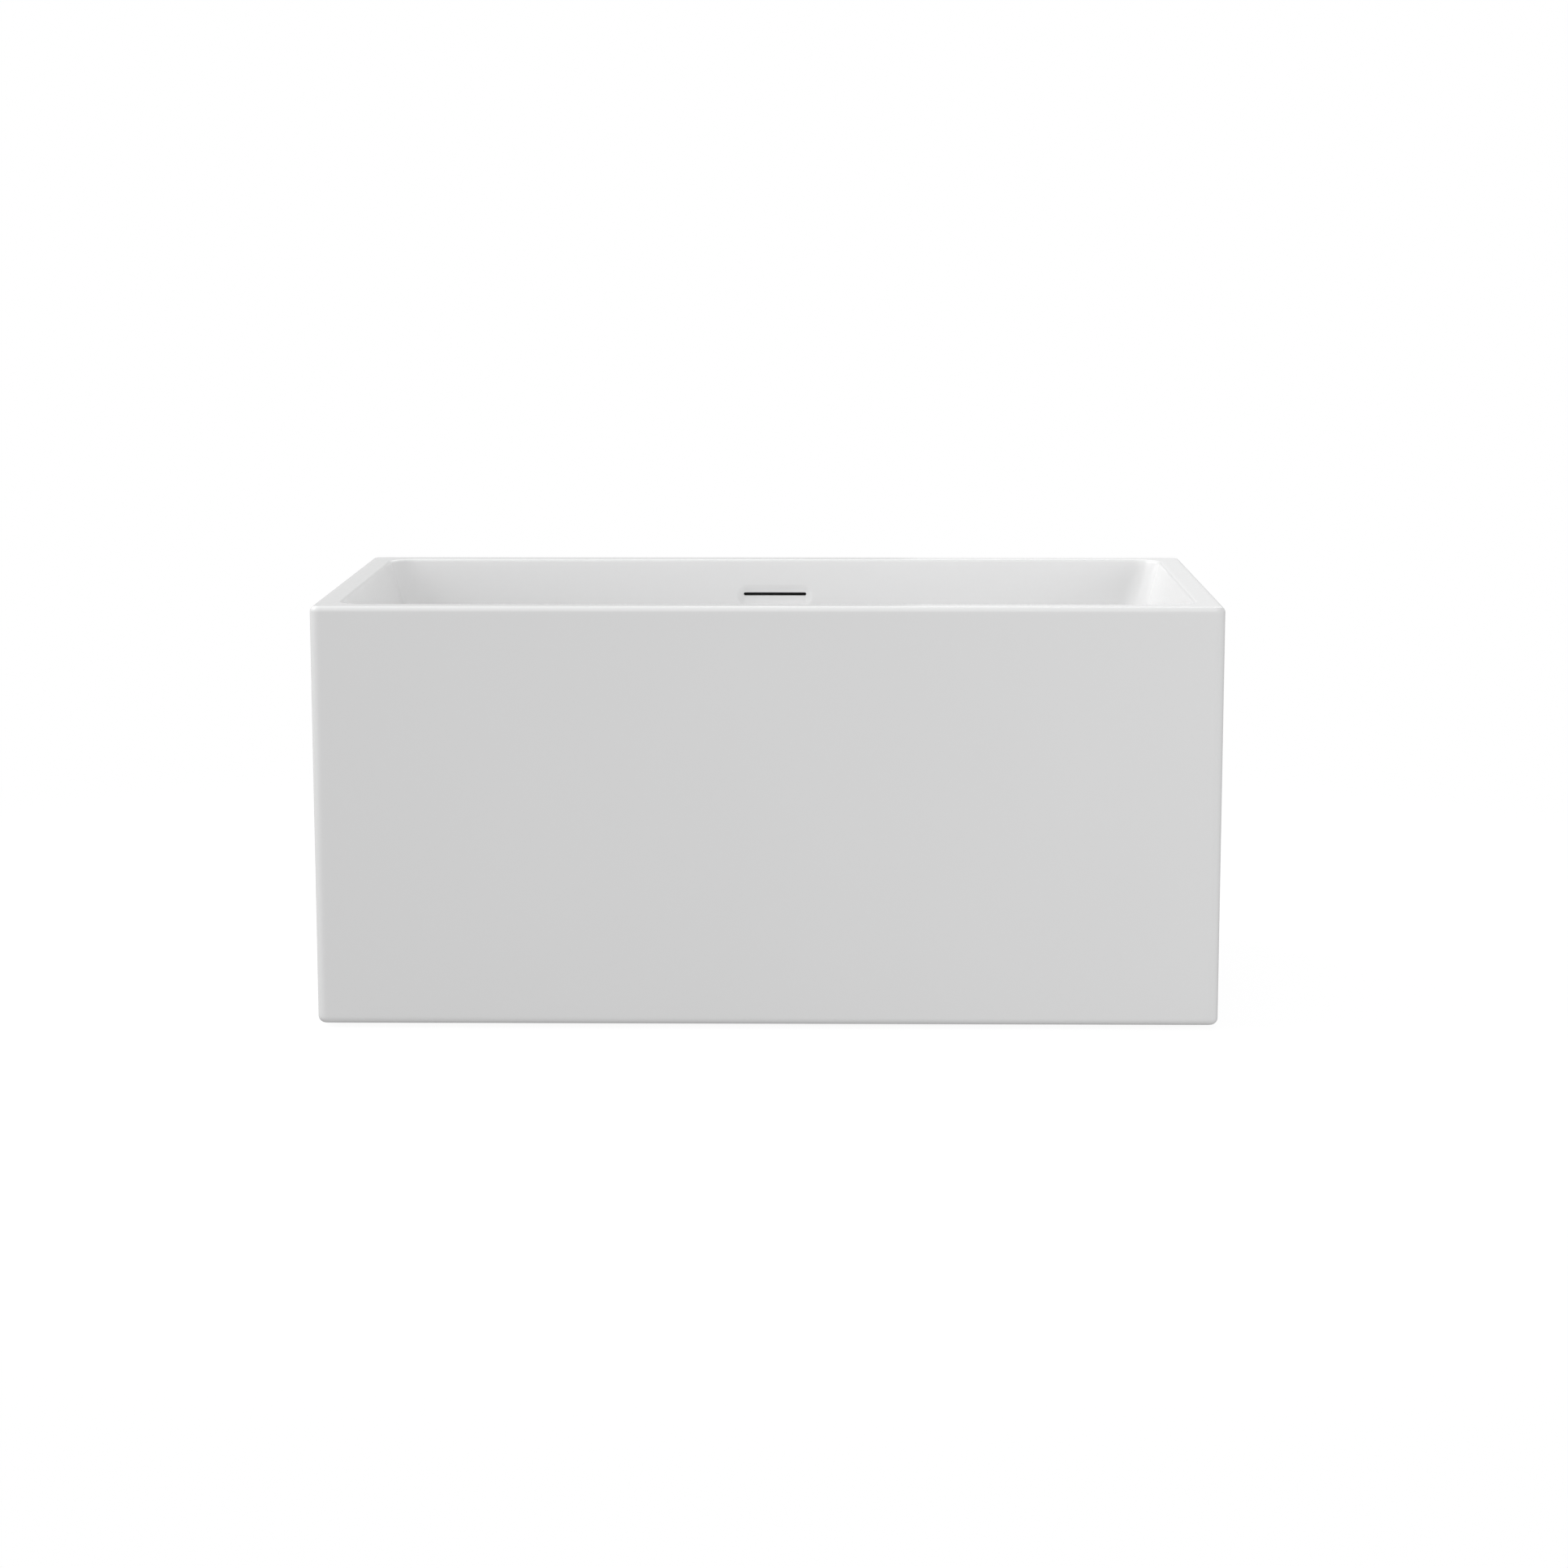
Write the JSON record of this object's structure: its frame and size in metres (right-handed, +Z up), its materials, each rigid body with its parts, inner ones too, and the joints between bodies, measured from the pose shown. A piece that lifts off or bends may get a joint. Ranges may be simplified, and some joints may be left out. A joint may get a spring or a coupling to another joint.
{
  "type": "freestanding bathtub",
  "caption": "Rectangular freestanding acrylic bathtub with a deep sloping well, a flat rim, a slot overflow, a pop-up drain and levelling feet under a straight skirt.",
  "frame": {"origin": "on the floor, under the middle of the tub's footprint", "axes": "+X along the tub's length, +Y towards the long wall with the overflow slot and the drain, +Z up"},
  "size_m": [1.295, 0.718, 0.61],
  "materials": {
    "white_acrylic": "high-gloss white sanitary acrylic",
    "adhesive": "cured white adhesive bead",
    "board": "bare fibreboard, resin sealed",
    "frame_steel": "galvanised square tube",
    "bracket_steel": "zinc plated bent plate",
    "zinc": "bright zinc plated",
    "black_plastic": "black moulded polypropylene",
    "sole_rubber": "ribbed black rubber",
    "chrome": "polished chrome plate",
    "gasket_rubber": "soft black rubber",
    "waste_plastic": "white moulded polypropylene",
    "hose_plastic": "corrugated white polypropylene",
    "brass": "turned brass",
    "spring_steel": "bright spring steel",
    "spacer_foam": "rigid cream foam block"
  },
  "bodies": {
    "root": {"basin": "white_acrylic", "skirt": "white_acrylic", "rim_bond": "adhesive", "base_board": "board", "rail_front": "frame_steel", "rail_middle": "frame_steel", "rail_back": "frame_steel", "cross_tube_left": "frame_steel", "cross_tube_right": "frame_steel", "cross_tube_centre": "frame_steel", "tube_end_caps": "black_plastic", "bracket_front_left": "bracket_steel", "bracket_front_right": "bracket_steel", "bracket_back_left": "bracket_steel", "bracket_back_right": "bracket_steel", "bracket_left": "bracket_steel", "bracket_right": "bracket_steel", "bracket_bolts": "zinc", "skirt_screws": "zinc", "bracket_nuts": "zinc", "foot_weld_nuts": "zinc", "foot_jam_nuts": "zinc", "drain_flange": "chrome", "flange_gasket": "gasket_rubber", "under_washer": "gasket_rubber", "waste_tee": "waste_plastic", "tailpiece": "waste_plastic", "slip_washer": "gasket_rubber", "slip_nut": "waste_plastic", "cartridge": "brass", "plug_spring": "spring_steel", "overflow_gasket": "gasket_rubber", "overflow_box": "waste_plastic", "overflow_box_screws": "zinc", "overflow_hose": "hose_plastic", "hose_clips": "spring_steel", "spacer_front_left": "spacer_foam", "spacer_front_right": "spacer_foam", "spacer_back_left": "spacer_foam", "spacer_back_right": "spacer_foam"},
    "plug": {"plug_cap": "chrome", "plug_seal": "gasket_rubber", "plug_stem": "brass"},
    "foot_front_left": {"foot_pad_front_left": "black_plastic", "foot_sole_front_left": "sole_rubber"},
    "stud_front_left": {"foot_stud_front_left": "zinc"},
    "foot_front_right": {"foot_pad_front_right": "black_plastic", "foot_sole_front_right": "sole_rubber"},
    "stud_front_right": {"foot_stud_front_right": "zinc"},
    "foot_back_left": {"foot_pad_back_left": "black_plastic", "foot_sole_back_left": "sole_rubber"},
    "stud_back_left": {"foot_stud_back_left": "zinc"},
    "foot_back_right": {"foot_pad_back_right": "black_plastic", "foot_sole_back_right": "sole_rubber"},
    "stud_back_right": {"foot_stud_back_right": "zinc"},
    "foot_centre": {"foot_pad_centre": "black_plastic", "foot_sole_centre": "sole_rubber"},
    "stud_centre": {"foot_stud_centre": "zinc"}
  },
  "joints": [
    {"name": "plug_lift", "type": "slide", "parent": "root", "child": "plug", "axis": [0, 0, 1], "range_m": [0, 0.01], "deforming": ["plug_spring"]},
    {"name": "foot_height_front_left", "type": "slide", "parent": "root", "child": "foot_front_left", "axis": [0, 0, -1], "range_m": [-0.006, 0.02]},
    {"name": "stud_turn_front_left", "type": "hinge", "parent": "foot_front_left", "child": "stud_front_left", "pos_m": [-0.4, -0.24, 0.05], "axis": [0, 0, -1], "range_deg": [-1236, 4116]},
    {"name": "foot_height_front_right", "type": "slide", "parent": "root", "child": "foot_front_right", "axis": [0, 0, -1], "range_m": [-0.006, 0.02]},
    {"name": "stud_turn_front_right", "type": "hinge", "parent": "foot_front_right", "child": "stud_front_right", "pos_m": [0.4, -0.24, 0.05], "axis": [0, 0, -1], "range_deg": [-1236, 4116]},
    {"name": "foot_height_back_left", "type": "slide", "parent": "root", "child": "foot_back_left", "axis": [0, 0, -1], "range_m": [-0.006, 0.02]},
    {"name": "stud_turn_back_left", "type": "hinge", "parent": "foot_back_left", "child": "stud_back_left", "pos_m": [-0.4, 0.24, 0.05], "axis": [0, 0, -1], "range_deg": [-1236, 4116]},
    {"name": "foot_height_back_right", "type": "slide", "parent": "root", "child": "foot_back_right", "axis": [0, 0, -1], "range_m": [-0.006, 0.02]},
    {"name": "stud_turn_back_right", "type": "hinge", "parent": "foot_back_right", "child": "stud_back_right", "pos_m": [0.4, 0.24, 0.05], "axis": [0, 0, -1], "range_deg": [-1236, 4116]},
    {"name": "foot_height_centre", "type": "slide", "parent": "root", "child": "foot_centre", "axis": [0, 0, -1], "range_m": [-0.006, 0.02]},
    {"name": "stud_turn_centre", "type": "hinge", "parent": "foot_centre", "child": "stud_centre", "pos_m": [0, -0.09283, 0.05], "axis": [0, 0, -1], "range_deg": [-1236, 4116]}
  ],
  "couplings": [
    {"joint": "stud_turn_front_left", "follows": "foot_height_front_left", "rad_per_m": 3590.4},
    {"joint": "stud_turn_front_right", "follows": "foot_height_front_right", "rad_per_m": 3590.4},
    {"joint": "stud_turn_back_left", "follows": "foot_height_back_left", "rad_per_m": 3590.4},
    {"joint": "stud_turn_back_right", "follows": "foot_height_back_right", "rad_per_m": 3590.4},
    {"joint": "stud_turn_centre", "follows": "foot_height_centre", "rad_per_m": 3590.4}
  ]
}
